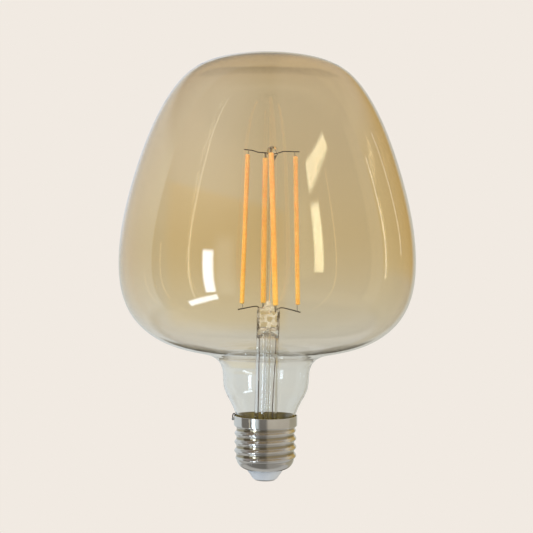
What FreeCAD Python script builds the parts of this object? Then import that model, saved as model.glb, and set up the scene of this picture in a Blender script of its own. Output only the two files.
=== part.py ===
import FreeCAD, Part
import math
import os

# Decorative LED filament lamp with an E27 screw cap, in millimetres.
# +Z runs up the lamp's axis from the centre contact to the crown of the glass.
# The origin is the middle of the centre contact's flat bottom.
# The press inside the glass is seen on its broad side from the front, which is -Y.

# ---- driving dimensions: E27 cap ------------------------------------------------
CAP_HEIGHT = 27.2            # rim of the screw shell above the centre contact
RIM_RADIUS = 13.4
RIM_BAND_BOTTOM = 22.9       # where the plain band under the rim ends
SHEET = 0.3                  # wall of the screw shell
CREST_RADIUS = 13.1
VALLEY_RADIUS = 12.2
THREAD_PITCH = 3.629         # 7 threads per inch
CREST_HEIGHT = 10.5          # height of a crest on the +X side
CREST_SHARPNESS = 1.5        # 1 is a sine wave, more makes the crests narrower
THREAD_FADE_LOW = (8.3, 10.1)     # heights over which the thread grows to full depth
THREAD_FADE_HIGH = (20.3, 22.9)   # heights over which it dies out under the band
LIP_HEIGHT = 4.6             # bottom edge of the screw shell, round the insulator
LIP_RADIUS = 8.05
SHOULDER_TOP = 9.2           # where the rounded shoulder becomes the threaded wall
SHOULDER_SWEEP = 0.97        # share of a quarter round that the shoulder's curve takes up
INSULATOR_TOP = 6.1
INSULATOR_NECK_RADIUS = 7.65
INSULATOR_CONE_TOP = 4.2     # where the neck inside the lip becomes the cone under it
INSULATOR_TIP_RADIUS = 5.0
INSULATOR_ROUNDING = 0.5
CONTACT_RADIUS = 4.6
CONTACT_THICKNESS = 0.5
RIVET_RADIUS = 1.3
RIVET_COLLAR_RADIUS = 2.0    # spread end of the rivet over the insulator's top
RIVET_COLLAR_HEIGHT = 0.35
WIRE_HOLE_RADIUS = 0.45
SOLDER_PLUG_TOP = 2.2
SIDE_SOLDER_RADIUS = 0.6
CEMENT_TOP = 27.6            # where the cement that creeps up the neck ends
CEMENT_AT_RIM = 26.9

# ---- driving dimensions: glass --------------------------------------------------
GLASS_WALL = 0.7
NECK_BOTTOM = 16.0           # lower end of the neck, where the stem's flare joins it
CROWN_HEIGHT = 178.4
# Outer outline from the neck inside the cap to the crown, as (radius, height).
GLASS_OUTLINE = (
    (11.0, NECK_BOTTOM), (11.05, 20.0), (11.6, 24.2), (12.95, 28.5),
    (15.05, 33.2), (17.5, 38.2), (18.15, 43.5), (18.85, 47.8), (21.0, 50.8),
    (25.0, 52.8), (31.0, 54.2), (40.2, 56.7), (50.2, 62.2), (57.1, 69.8),
    (61.0, 79.5), (62.2, 91.0), (61.5, 103.0), (58.7, 118.0), (53.9, 134.8),
    (47.4, 151.5), (40.2, 164.0), (32.8, 171.8), (23.4, 176.1), (11.8, 177.9),
    (0.0, CROWN_HEIGHT),
)

STEM_RADIUS = 4.85
STEM_WALL = 0.9
FLARE_RADIUS = 10.15
FLARE_TANGENT = 22.0         # height where the flare's curve leaves the straight tube
MOUNT_LEAN = 0.85            # degrees by which the stem and all it carries lean towards +X
STEM_BORE_TOP = 62.0
PRESS_BOTTOM = 64.0
PRESS_TOP = 72.4
PRESS_HALF_WIDTH = 4.9
PRESS_HALF_DEPTH = 2.1
PRESS_CORNER = 1.2           # rounding of the press's upright corners
PRESS_TOP_ROUNDING = 1.0
KNOB_RADIUS = 2.6            # round lump on the press that carries the rod
KNOB_HEIGHT = PRESS_TOP - 0.9
EXHAUST_RADIUS = 1.45
EXHAUST_BORE = 0.85
EXHAUST_TIP = 18.4
EXHAUST_GRIP = 0.15          # how far its upper end sits in the glass over the stem's bore
EXHAUST_HOLE_HEIGHT = 63.0   # side hole at the press, where the exhaust tube opens
EXHAUST_HOLE_RADIUS = 0.7
ROD_RADIUS = 1.05
BEAD_RADIUS = 2.5
BEAD_HEIGHT = 138.4
BEAD_FLARE_LENGTH = 3.5      # cone that leads from the rod into the bead
BEAD_FLARE_RADIUS = 1.9

# ---- driving dimensions: wires and filaments ------------------------------------
LEAD_RADIUS = 0.25
SUPPORT_RADIUS = 0.22
SEAL_RADIUS = 0.3
SEAL_X = 3.95                # half spacing of the two seals in the press
SEAL_FOOT_X = 3.55           # half spacing where they enter the glass from below
SEAL_BOTTOM = 60.9
SEAL_TOP = 70.6
COAT_BOTTOM = 74.0
COAT_TOP = 136.9
COAT_HALF_WIDTH = 1.15
COAT_HALF_THICKNESS = 0.95
STRIP_WIDTH = 1.0
STRIP_THICKNESS = 0.35
STRIP_INSET = 0.9            # bare coating beyond each end of the glass strip
CHIP_COUNT = 28
CHIP_SIZE = (0.45, 0.15, 0.9)
TAIL_WIDTH = 0.8
TAIL_THICKNESS = 0.2
TAIL_GRIP = 2.4              # length of each end tag inside the coating
# Middle of the wire that each filament is welded to: (bottom point, top point).
FILAMENTS = {
    "left": ((-11.3, -1.9, 71.8), (-10.4, -1.7, 138.8)),
    "right": ((12.5, 2.1, 71.1), (9.7, 1.8, 138.9)),
    "front": ((2.95, -12.0, 71.6), (-0.7, -10.6, 138.9)),
    "back": ((-2.35, 12.0, 72.1), (-3.0, 10.4, 138.9)),
}

# ---- driving dimensions: driver in the cap --------------------------------------
CUP_RADIUS = 10.3
CUP_BOTTOM = 6.15
CUP_TOP = 14.2
CUP_WALL = 0.5
CUP_HOLE_RADIUS = 2.6        # lets the rivet and the live wire through the cup's floor
BOARD_RADIUS = 9.5
BOARD_BOTTOM = 9.2
BOARD_TOP = 10.2
LED_PAD = (7.6, -1.5)        # where each outer lead meets the board
SIDE_PAD = (-8.85, 1.6)      # where the side contact wire meets the board
LIVE_PAD = (-3.4, -7.2)      # where the live wire comes up through the board
LIVE_WIRE_RADIUS = 0.3
SIDE_WIRE_RADIUS = 0.22
CAPACITOR_PLACE = (-5.2, 3.7)
CAPACITOR_RADIUS = 2.5
CAPACITOR_HEIGHT = 4.5
INDUCTOR_PLACE = (5.2, 3.7)
INDUCTOR_FLANGE = (2.5, 0.8)      # radius and thickness of the bobbin's two flanges
INDUCTOR_WAIST_RADIUS = 1.2
INDUCTOR_HEIGHT = 4.4
FUSE_Y = -7.3
FUSE_RADIUS = 1.15
RADIO_PLACE = (0.0, -2.2)
RADIO_BOARD = (9.0, 6.4, 0.7)
RADIO_LIFT = 0.9             # length of the pins under the radio board
RADIO_CAN = (5.4, 5.0, 1.3)
RADIO_CAN_WALL = 0.2
RESISTOR_PLACES = ((3.0, -2.4), (3.0, -4.2), (3.0, -6.0), (6.2, -2.4), (6.2, -4.2), (-6.6, -3.4))
CHIP_CAPACITOR_PLACES = ((0.0, 6.4), (-6.6, -1.0), (7.4, 0.2))
PACKAGE_FOOT = (0.4, 0.7, 0.2)    # flat end of a chip package's lead, on the board
PACKAGE_LEG = (0.4, 0.25, 0.9)    # its upright part, beside the package

FIT_GAP = 0.05               # clearance between pieces that only touch


# ---- helpers --------------------------------------------------------------------
def vec(x, y, z):
    return FreeCAD.Vector(x, y, z)


def line(start, end):
    """Straight edge in the XZ half plane between two (radius, height) points."""
    return Part.makeLine(vec(start[0], 0, start[1]), vec(end[0], 0, end[1]))


def arc(start, middle, end):
    """Arc in the XZ half plane through three (radius, height) points."""
    points = [vec(r, 0, z) for r, z in (start, middle, end)]
    return Part.Arc(*points).toShape()


def revolve(edges):
    """Solid of revolution about Z from a closed loop of edges in the XZ half plane."""
    face = Part.Face(Part.Wire(Part.__sortEdges__(edges)))
    return face.revolve(vec(0, 0, 0), vec(0, 0, 1), 360)


def revolve_points(points):
    """Solid of revolution from a closed polygon of (radius, height) points."""
    loop = list(points) + [points[0]]
    return revolve([line(a, b) for a, b in zip(loop, loop[1:])])


def cylinder(radius, bottom, top, x=0.0, y=0.0):
    return Part.makeCylinder(radius, top - bottom, vec(x, y, bottom))


def block(size, centre, bottom):
    """Upright box of the given size, centred on (x, y), standing on bottom."""
    corner = vec(centre[0] - size[0] / 2, centre[1] - size[1] / 2, bottom)
    return Part.makeBox(size[0], size[1], size[2], corner)


def bent_wire(points, radius, bend=2.0):
    """Round wire along straight runs between the points, with a rounded bend at each corner."""
    corners = [vec(*p) for p in points]
    edges = []
    run_start = corners[0]
    for before, corner, after in zip(corners, corners[1:], corners[2:]):
        arriving = (corner - before).normalize()
        leaving = (after - corner).normalize()
        half_turn = arriving.getAngle(leaving) / 2
        if half_turn < 0.002:
            continue
        reach = 0.45 * min((corner - before).Length, (after - corner).Length)
        reach = min(reach, bend * math.tan(half_turn))
        rounding = reach / math.tan(half_turn)
        inward = (leaving - arriving).normalize() * rounding * (1 / math.cos(half_turn) - 1)
        run_end = corner - arriving * reach
        next_start = corner + leaving * reach
        edges.append(Part.makeLine(run_start, run_end))
        edges.append(Part.Arc(run_end, corner + inward, next_start).toShape())
        run_start = next_start
    edges.append(Part.makeLine(run_start, corners[-1]))
    ring = Part.Wire([Part.makeCircle(radius, corners[0], corners[1] - corners[0])])
    return Part.Wire(edges).makePipe(Part.Face(ring))


def smooth_step(value, low, high):
    """0 below low, 1 above high, and an S-shaped rise between them."""
    share = min(1.0, max(0.0, (value - low) / (high - low)))
    return share * share * (3 - 2 * share)


def cut_all(shape, tools):
    for tool in tools:
        shape = shape.cut(tool)
    return shape


def save(name, shape):
    """Write one node as STEP, as a group when it has several solids."""
    solids = shape.Solids
    for solid in solids:
        if not solid.isValid() or solid.Volume <= 0:
            raise ValueError("bad solid in " + name)
    whole = solids[0] if len(solids) == 1 else Part.makeCompound(solids)
    whole.exportStep("parts/" + name + ".step")


# ---- screw cap ------------------------------------------------------------------
def shell_base_radius(height):
    """Outer radius of the screw shell without its thread."""
    if height < SHOULDER_TOP:
        share = (SHOULDER_TOP - height) / (SHOULDER_TOP - LIP_HEIGHT)
        drop = 1 - math.sqrt(1 - (SHOULDER_SWEEP * share) ** 2)
        full_drop = 1 - math.sqrt(1 - SHOULDER_SWEEP ** 2)
        return VALLEY_RADIUS - (VALLEY_RADIUS - LIP_RADIUS) * drop / full_drop
    rise = smooth_step(height, RIM_BAND_BOTTOM - 1.0, RIM_BAND_BOTTOM + 0.4)
    return VALLEY_RADIUS + (RIM_RADIUS - VALLEY_RADIUS) * rise


def shell_radius(height, angle):
    """Outer radius of the screw shell: its base form and the right-hand rolled thread."""
    turns = (height - CREST_HEIGHT) / THREAD_PITCH - angle / (2 * math.pi)
    wave = (0.5 + 0.5 * math.cos(2 * math.pi * turns)) ** CREST_SHARPNESS
    depth = CREST_RADIUS - VALLEY_RADIUS
    depth *= smooth_step(height, *THREAD_FADE_LOW)
    depth *= 1 - smooth_step(height, *THREAD_FADE_HIGH)
    return shell_base_radius(height) + depth * wave


def shell_surface(inward):
    """Closed ring-shaped spline surface of the shell, moved inward along its normal."""
    columns = 40
    rows = 121
    column_gain = 3 / (2 + math.cos(2 * math.pi / columns))
    poles = []
    for column in range(columns):
        angle = 2 * math.pi * column / columns
        strip = []
        for row in range(rows):
            share = row / (rows - 1)
            height = LIP_HEIGHT + (CAP_HEIGHT - LIP_HEIGHT) * share
            slope_step = 0.02
            above = min(CAP_HEIGHT, height + slope_step)
            below = max(LIP_HEIGHT, height - slope_step)
            run = shell_radius(above, angle) - shell_radius(below, angle)
            rise = above - below
            length = math.hypot(run, rise)
            radius = shell_radius(height, angle) - inward * rise / length
            level = height + inward * run / length
            radius *= column_gain
            strip.append(vec(radius * math.cos(angle), radius * math.sin(angle), level))
        poles.append(strip)
    row_knots = list(range(rows - 2))
    row_mults = [4] + [1] * (rows - 4) + [4]
    column_knots = list(range(columns + 1))
    surface = Part.BSplineSurface()
    surface.buildFromPolesMultsKnots(
        poles, [1] * (columns + 1), row_mults, column_knots, row_knots, True, False, 3, 3)
    return surface


def ring_edge(face, top):
    """The closed boundary edge of a ring-shaped face at its top or bottom."""
    rings = [edge for edge in face.Edges if len(edge.Vertexes) == 1]
    rings = [edge for edge in rings if edge.isClosed() and edge.BoundBox.XLength > 1]
    rings.sort(key=lambda edge: edge.BoundBox.ZMax)
    return rings[-1] if top else rings[0]


def make_screw_shell():
    outer = shell_surface(0.0).toShape()
    inner = shell_surface(SHEET).toShape()
    ends = [Part.makeRuledSurface(ring_edge(outer, top), ring_edge(inner, top))
            for top in (False, True)]
    shell = Part.makeShell([outer, inner] + ends)
    shell.sewShape()
    solid = Part.makeSolid(shell)
    if solid.Volume < 0:
        solid.reverse()
    return solid


def make_base_insulator():
    """Glass insulator: a flange inside the shell's shoulder and a cone that holds the contact."""
    hole = RIVET_RADIUS + FIT_GAP
    flange_bottom = LIP_HEIGHT + SHEET + 0.45
    flange_low = shell_base_radius(flange_bottom) - SHEET - 0.45
    flange_high = shell_base_radius(INSULATOR_TOP) - SHEET - 0.3
    tip_height = CONTACT_THICKNESS
    cone_foot = (INSULATOR_TIP_RADIUS + 0.35, tip_height + INSULATOR_ROUNDING)
    tip_edge = (INSULATOR_TIP_RADIUS - 0.3, tip_height)
    edges = [
        line((hole, INSULATOR_TOP), (flange_high, INSULATOR_TOP)),
        line((flange_high, INSULATOR_TOP), (flange_low, flange_bottom)),
        line((flange_low, flange_bottom), (INSULATOR_NECK_RADIUS, flange_bottom)),
        line((INSULATOR_NECK_RADIUS, flange_bottom), (INSULATOR_NECK_RADIUS, INSULATOR_CONE_TOP)),
        line((INSULATOR_NECK_RADIUS, INSULATOR_CONE_TOP), cone_foot),
        arc(cone_foot, (INSULATOR_TIP_RADIUS + 0.1, tip_height + 0.16), tip_edge),
        line(tip_edge, (hole, tip_height)),
        line((hole, tip_height), (hole, INSULATOR_TOP)),
    ]
    return revolve(edges)


def make_centre_contact():
    """Pressed button with a hollow rivet that is spread over the insulator's top."""
    flat_edge = (CONTACT_RADIUS - 0.8, 0)
    collar_top = INSULATOR_TOP + RIVET_COLLAR_HEIGHT
    collar_edge = (RIVET_COLLAR_RADIUS - 0.5, collar_top)
    edges = [
        line((WIRE_HOLE_RADIUS, 0), flat_edge),
        arc(flat_edge, (CONTACT_RADIUS - 0.2, 0.17), (CONTACT_RADIUS, CONTACT_THICKNESS)),
        line((CONTACT_RADIUS, CONTACT_THICKNESS), (RIVET_RADIUS, CONTACT_THICKNESS)),
        line((RIVET_RADIUS, CONTACT_THICKNESS), (RIVET_RADIUS, INSULATOR_TOP)),
        line((RIVET_RADIUS, INSULATOR_TOP), (RIVET_COLLAR_RADIUS, INSULATOR_TOP)),
        arc((RIVET_COLLAR_RADIUS, INSULATOR_TOP),
            (RIVET_COLLAR_RADIUS - 0.1, INSULATOR_TOP + 0.28), collar_edge),
        line(collar_edge, (WIRE_HOLE_RADIUS, collar_top)),
        line((WIRE_HOLE_RADIUS, collar_top), (WIRE_HOLE_RADIUS, 0)),
    ]
    return revolve(edges)


def make_contact_solder(live_wire):
    """Solder that fills the lower end of the rivet's hole round the live wire."""
    plug = cylinder(WIRE_HOLE_RADIUS - 0.01, 0.05, SOLDER_PLUG_TOP)
    return plug.cut(live_wire)


def live_wire_path():
    x, y = LIVE_PAD
    return [(0, 0, 0.7), (0, 0, 3.0), (0, 0, 6.95), (-0.5, -1.2, 7.5), (-1.9, -4.2, 7.8),
            (-3.1, -6.6, 8.2), (x, y, 9.4), (x, y, BOARD_TOP + 0.8)]


def side_wire_path():
    """From the board, over the driver cup, up past the neck and over the rim as a loop."""
    x, y = SIDE_PAD
    return [(x, y, BOARD_BOTTOM + 0.2), (x, y, 13.4), (-9.8, 1.2, 14.8), (-11.3, 0.3, 15.2),
            (-11.47, 0, 17.0), (-11.5, 0, 21.6), (-12.05, 0, 23.6), (-12.65, 0, 25.6),
            (-12.85, 0, 27.3), (-13.3, 0, 27.9), (-13.8, 0, 27.4), (-13.95, 0, 26.5),
            (-13.75, 0, 25.6)]


def make_side_solder(side_wire):
    end_x, end_y, end_height = side_wire_path()[-1]
    blob = Part.makeSphere(SIDE_SOLDER_RADIUS, vec(end_x, end_y, end_height - 0.1))
    band = cylinder(RIM_RADIUS + 0.01, LIP_HEIGHT, CAP_HEIGHT)
    return blob.cut(band).cut(side_wire)


def make_capping_cement(side_wire):
    """Cement that fills the space between the glass neck and the screw shell."""
    wall = VALLEY_RADIUS - SHEET - FIT_GAP
    rim = RIM_RADIUS - SHEET - FIT_GAP
    neck = outline_curve(GLASS_OUTLINE)
    low, high = [neck.parameter(vec(radius, 0, height))
                 for radius, height in (GLASS_OUTLINE[0], GLASS_OUTLINE[3])]
    steps = 18
    points = [neck.value(low + (high - low) * step / steps) for step in range(steps + 1)]
    outline = [(point.x + FIT_GAP, point.z) for point in points if point.z < CEMENT_TOP]
    outline += [(rim, CEMENT_AT_RIM), (rim, RIM_BAND_BOTTOM + 1.1),
                (wall, RIM_BAND_BOTTOM - 0.9), (wall, NECK_BOTTOM)]
    return revolve_points(outline).cut(side_wire)


# ---- glass ----------------------------------------------------------------------
def outline_curve(points):
    """Smooth curve from the crown down to the neck, level where it meets the axis.

    The stations are mirrored to the far side of the axis first, which makes it level there.
    """
    near_side = [vec(r, 0, z) for r, z in reversed(points)]
    far_side = [vec(-r, 0, z) for r, z in points[:-1]]
    curve = Part.BSplineCurve()
    curve.interpolate(Points=far_side + near_side)
    curve.segment(curve.parameter(near_side[0]), curve.LastParameter)
    return curve


def make_glass_envelope():
    outer = outline_curve(GLASS_OUTLINE)
    inner_points = []
    for radius, height in GLASS_OUTLINE:
        tangent = outer.tangent(outer.parameter(vec(radius, 0, height)))[0]
        inner_points.append((radius + GLASS_WALL * tangent.z, height - GLASS_WALL * tangent.x))
    inner_points[0] = (GLASS_OUTLINE[0][0] - GLASS_WALL, NECK_BOTTOM)
    inner_points[-1] = (0.0, CROWN_HEIGHT - GLASS_WALL)
    inner = outline_curve(inner_points)
    edges = [outer.toShape(), inner.toShape(),
             line(GLASS_OUTLINE[0], inner_points[0]),
             line(GLASS_OUTLINE[-1], inner_points[-1])]
    return revolve(edges)


def rounded_outline(half_width, half_depth, corner, height):
    """Closed wire of a rounded rectangle at one height."""
    x = half_width - corner
    y = half_depth - corner
    diagonal = corner * math.sqrt(0.5)
    edges = []
    for sx, sy in ((1, 1), (-1, 1), (-1, -1), (1, -1)):
        side = vec(sx * half_width, sy * y, height)
        corner_point = vec(sx * (x + diagonal), sy * (y + diagonal), height)
        end = vec(sx * x, sy * half_depth, height)
        points = (side, corner_point, end) if sx * sy > 0 else (end, corner_point, side)
        edges.append(Part.Arc(*points).toShape())
    ends = [(e.Vertexes[0].Point, e.Vertexes[-1].Point) for e in edges]
    loop = []
    for i, edge in enumerate(edges):
        following = ends[(i + 1) % 4][0]
        loop.append(edge)
        loop.append(Part.makeLine(ends[i][1], following))
    return Part.Wire(loop)


def make_stem(cutters):
    """Flare, tube and press of the stem, one piece of glass."""
    bend = FLARE_RADIUS - STEM_RADIUS
    wide = bend + STEM_WALL
    half = math.sqrt(0.5)
    centre = (FLARE_RADIUS, FLARE_TANGENT)
    bore = STEM_RADIUS - STEM_WALL
    outer_arc = arc((centre[0], centre[1] - bend),
                    (centre[0] - bend * half, centre[1] - bend * half), (STEM_RADIUS, centre[1]))
    inner_arc = arc((centre[0], centre[1] - wide),
                    (centre[0] - wide * half, centre[1] - wide * half), (bore, centre[1]))
    dome = STEM_BORE_TOP - bore
    solid_top = STEM_BORE_TOP + 0.7
    edges = [
        outer_arc,
        line((STEM_RADIUS, centre[1]), (STEM_RADIUS, solid_top)),
        line((STEM_RADIUS, solid_top), (0, solid_top)),
        line((0, solid_top), (0, STEM_BORE_TOP)),
        arc((0, STEM_BORE_TOP), (bore * half, dome + bore * half), (bore, dome)),
        line((bore, dome), (bore, centre[1])),
        inner_arc,
        line((centre[0], centre[1] - wide), (centre[0], centre[1] - bend)),
    ]
    tube = revolve(edges)
    round_end = Part.Wire([Part.makeCircle(STEM_RADIUS, vec(0, 0, solid_top))])
    flat_end = rounded_outline(PRESS_HALF_WIDTH, PRESS_HALF_DEPTH, PRESS_CORNER, PRESS_BOTTOM)
    shoulder = Part.makeLoft([round_end, flat_end], True, False)
    press = Part.Face(flat_end).extrude(vec(0, 0, PRESS_TOP - PRESS_BOTTOM))
    top_edges = [e for e in press.Edges if min(v.Z for v in e.Vertexes) > PRESS_TOP - 0.01]
    press = press.makeFillet(PRESS_TOP_ROUNDING, top_edges)
    knob = Part.makeSphere(KNOB_RADIUS, vec(0, 0, KNOB_HEIGHT))
    stem = tube.fuse([shoulder, press, knob])
    hole = Part.makeCylinder(EXHAUST_HOLE_RADIUS, STEM_RADIUS,
                             vec(0, -STEM_RADIUS, EXHAUST_HOLE_HEIGHT), vec(0, 1, 0))
    bore_end = cylinder(EXHAUST_BORE, STEM_BORE_TOP - 4, EXHAUST_HOLE_HEIGHT + 0.9)
    return cut_all(stem, [hole, bore_end] + cutters).removeSplitter()


def make_exhaust_tube():
    """Tube through which the bulb was pumped, drawn to a sealed tip at its lower end."""
    top = STEM_BORE_TOP + EXHAUST_GRIP
    half = math.sqrt(0.5)
    centre = EXHAUST_TIP + EXHAUST_RADIUS
    edges = [
        line((EXHAUST_BORE, top), (EXHAUST_RADIUS, top)),
        line((EXHAUST_RADIUS, top), (EXHAUST_RADIUS, centre)),
        arc((EXHAUST_RADIUS, centre), (EXHAUST_RADIUS * half, centre - EXHAUST_RADIUS * half),
            (0, EXHAUST_TIP)),
        line((0, EXHAUST_TIP), (0, centre - EXHAUST_BORE)),
        arc((0, centre - EXHAUST_BORE), (EXHAUST_BORE * half, centre - EXHAUST_BORE * half),
            (EXHAUST_BORE, centre)),
        line((EXHAUST_BORE, centre), (EXHAUST_BORE, top)),
    ]
    return revolve(edges)


def make_support_rod(cutters):
    """Glass rod on top of the press with a bead melted on its upper end."""
    rod = cylinder(ROD_RADIUS, KNOB_HEIGHT + KNOB_RADIUS - 0.35, BEAD_HEIGHT)
    knob = Part.makeSphere(KNOB_RADIUS + 0.02, vec(0, 0, KNOB_HEIGHT))
    bead = Part.makeSphere(BEAD_RADIUS, vec(0, 0, BEAD_HEIGHT))
    flare = Part.makeCone(ROD_RADIUS, BEAD_FLARE_RADIUS, 1.9,
                          vec(0, 0, BEAD_HEIGHT - BEAD_FLARE_LENGTH))
    return cut_all(rod.cut(knob).fuse([flare, bead]), cutters).removeSplitter()


# ---- leads and support wires ----------------------------------------------------
def outer_lead_path(side):
    """Lead from the board up the inside of the stem to its seal; side is -1 or +1."""
    x, y = LED_PAD
    upper = 3.3 if side < 0 else 2.7
    return [(side * x, y, BOARD_BOTTOM + 0.2), (side * x, y, 12.0),
            (side * 7.2, y * 0.9, 14.0), (side * 5.5, y * 0.6, 16.0),
            (side * 3.6, y * 0.2, 19.5), (side * upper, 0, 30.0),
            (side * (upper + 3.5) / 2, 0, 44.0), (side * SEAL_FOOT_X, 0, 55.0),
            (side * SEAL_FOOT_X, 0, 58.0), (side * SEAL_FOOT_X, 0, SEAL_BOTTOM)]


def seal_path(side):
    return [(side * SEAL_FOOT_X, 0, SEAL_BOTTOM), (side * SEAL_FOOT_X, 0, SEAL_BOTTOM + 1.2),
            (side * SEAL_X, 0, SEAL_BOTTOM + 4.0), (side * SEAL_X, 0, SEAL_TOP)]


INNER_LEAD_PATHS = {
    "left": [(-SEAL_X, 0, SEAL_TOP), (-SEAL_X, 0, 72.2), (-4.75, 0, 73.05), (-6.2, -0.6, 72.95),
             (-8.9, -1.4, 72.35), FILAMENTS["left"][0], (-12.8, -2.2, 71.5)],
    "right": [(SEAL_X, 0, SEAL_TOP), (SEAL_X, 0, 71.8), (4.9, 0.3, 72.6), (6.3, 0.8, 72.55),
              (9.2, 1.5, 71.85), FILAMENTS["right"][0], (13.6, 2.3, 70.8)],
}
CROSSARM_PATHS = {
    "front": [(4.0, -0.45, 72.1), (4.0, -2.2, 72.4), (3.5, -7.0, 72.1),
              FILAMENTS["front"][0], (2.8, -13.0, 71.5)],
    "back": [(-3.9, 0.45, 72.0), (-3.9, 2.2, 72.3), (-3.2, 7.0, 72.2),
             FILAMENTS["back"][0], (-2.2, 13.0, 72.05)],
}
CROSSWIRE_PATHS = {
    "side": [(-12.0, -2.0, 138.85), FILAMENTS["left"][1], (-8.5, -1.4, 138.65),
             (-6.0, -0.95, 137.95), (0, 0, 137.8), (3.0, 0.5, 138.1),
             (4.3, 0.75, 138.75), FILAMENTS["right"][1], (11.4, 2.15, 138.95)],
    "fore": [(-0.8, -12.0, 138.8), FILAMENTS["front"][1], (-0.5, -5.0, 139.2),
             (0, 0, 139.3), (-1.3, 5.0, 139.2), FILAMENTS["back"][1], (-3.3, 12.0, 138.8)],
}


# ---- filaments ------------------------------------------------------------------
def point_at_height(bottom, top, height):
    share = (height - bottom[2]) / (top[2] - bottom[2])
    return vec(*[b + (t - b) * share for b, t in zip(bottom, top)])


def filament_placement(start, end):
    """Local Z along the filament, local Y away from the lamp's axis."""
    along = (end - start).normalize()
    outward = vec(start.x, start.y, 0)
    outward = (outward - along * outward.dot(along)).normalize()
    across = outward.cross(along)
    return FreeCAD.Placement(start, FreeCAD.Rotation(across, outward, along, "ZYX"))


def coat_blank(length):
    """Cured phosphor sleeve: a rod of flattened round section with rounded ends."""
    flat = COAT_HALF_WIDTH - COAT_HALF_THICKNESS
    middle = block((2 * flat, 2 * COAT_HALF_THICKNESS, length), (0, 0), 0)
    sides = [cylinder(COAT_HALF_THICKNESS, 0, length, x) for x in (-flat, flat)]
    sleeve = middle.fuse(sides).removeSplitter()
    end_edges = [e for e in sleeve.Edges if e.BoundBox.ZLength < 0.001]
    return sleeve.makeFillet(0.5, end_edges)


def make_filament(name, bottom_wire, top_wire):
    """The five pieces of one filament, keyed by node name."""
    bottom, top = FILAMENTS[name]
    start = point_at_height(bottom, top, COAT_BOTTOM)
    end = point_at_height(bottom, top, COAT_TOP)
    length = (end - start).Length
    free_low = (start - vec(*bottom)).Length
    free_high = (vec(*top) - end).Length
    placement = filament_placement(start, end)

    strip_length = length - 2 * STRIP_INSET
    strip = block((STRIP_WIDTH, STRIP_THICKNESS, strip_length), (0, 0), STRIP_INSET)
    chip_y = (STRIP_THICKNESS + CHIP_SIZE[1]) / 2
    step = (strip_length - 5.0) / (CHIP_COUNT - 1)
    first = STRIP_INSET + 2.5 - CHIP_SIZE[2] / 2
    chips = [block(CHIP_SIZE, (0, chip_y), first + step * i) for i in range(CHIP_COUNT)]
    tail_y = -(STRIP_THICKNESS + TAIL_THICKNESS) / 2
    low_tail = block((TAIL_WIDTH, TAIL_THICKNESS, free_low + TAIL_GRIP), (0, tail_y), -free_low)
    high_tail = block((TAIL_WIDTH, TAIL_THICKNESS, free_high + TAIL_GRIP), (0, tail_y),
                      length - TAIL_GRIP)
    coat = coat_blank(length).cut([strip, low_tail, high_tail] + chips)

    pieces = {
        "strip": strip,
        "chips": Part.makeCompound(chips),
        "phosphor_coat": coat,
        "bottom_tag": low_tail,
        "top_tag": high_tail,
    }
    placed = {}
    for part_name, shape in pieces.items():
        shape = shape.copy()
        shape.Placement = placement.multiply(shape.Placement)
        placed["filament_" + name + "_" + part_name] = shape
    low_name = "filament_" + name + "_bottom_tag"
    high_name = "filament_" + name + "_top_tag"
    placed[low_name] = placed[low_name].cut(bottom_wire)
    placed[high_name] = placed[high_name].cut(top_wire)
    return placed


# ---- driver ---------------------------------------------------------------------
def make_driver_cup():
    """Insulating cup between the driver and the live metal of the cap."""
    outline = [(CUP_HOLE_RADIUS, CUP_BOTTOM), (CUP_RADIUS - 0.6, CUP_BOTTOM),
               (CUP_RADIUS, CUP_BOTTOM + 0.6), (CUP_RADIUS, CUP_TOP),
               (CUP_RADIUS - CUP_WALL, CUP_TOP), (CUP_RADIUS - CUP_WALL, CUP_BOTTOM + 0.8),
               (CUP_RADIUS - 0.8, CUP_BOTTOM + CUP_WALL),
               (CUP_HOLE_RADIUS, CUP_BOTTOM + CUP_WALL)]
    cup = revolve_points(outline)
    ledges = []
    for angle in (60, 180, 300):
        ledge = block((1.0, 2.0, BOARD_BOTTOM - CUP_BOTTOM - 0.3), (9.25, 0), CUP_BOTTOM + 0.3)
        ledge.rotate(vec(0, 0, 0), vec(0, 0, 1), angle)
        ledges.append(ledge)
    return cup.fuse(ledges).removeSplitter()


def make_driver_board(leads):
    board = cylinder(BOARD_RADIUS, BOARD_BOTTOM, BOARD_TOP)
    return cut_all(board, leads)


def small_outline_package(size, centre, top, lead_count):
    """Moulded chip hanging under the board, with bent metal leads along two sides."""
    body = block(size, centre, top - 0.1 - size[2])
    leads = []
    row = size[0] - 1.0
    step = row / max(1, lead_count - 1)
    for side in (-1, 1):
        for i in range(lead_count):
            x = centre[0] - row / 2 + step * i
            y = centre[1] + side * (size[1] + PACKAGE_FOOT[1]) / 2
            leads.append(block(PACKAGE_FOOT, (x, y), top - PACKAGE_FOOT[2]))
            leads.append(block(PACKAGE_LEG, (x, y - side * 0.3), top - 0.95))
    return body.fuse(leads).removeSplitter()


def make_bulk_capacitor():
    """Aluminium can with a rolled groove near its lower end."""
    x, y = CAPACITOR_PLACE
    can = cylinder(CAPACITOR_RADIUS, BOARD_TOP, BOARD_TOP + CAPACITOR_HEIGHT, x, y)
    can = can.makeFillet(0.35, [e for e in can.Edges if e.isClosed()])
    groove = Part.makeTorus(CAPACITOR_RADIUS + 0.12, 0.3, vec(x, y, BOARD_TOP + 0.9))
    return can.cut(groove)


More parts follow.
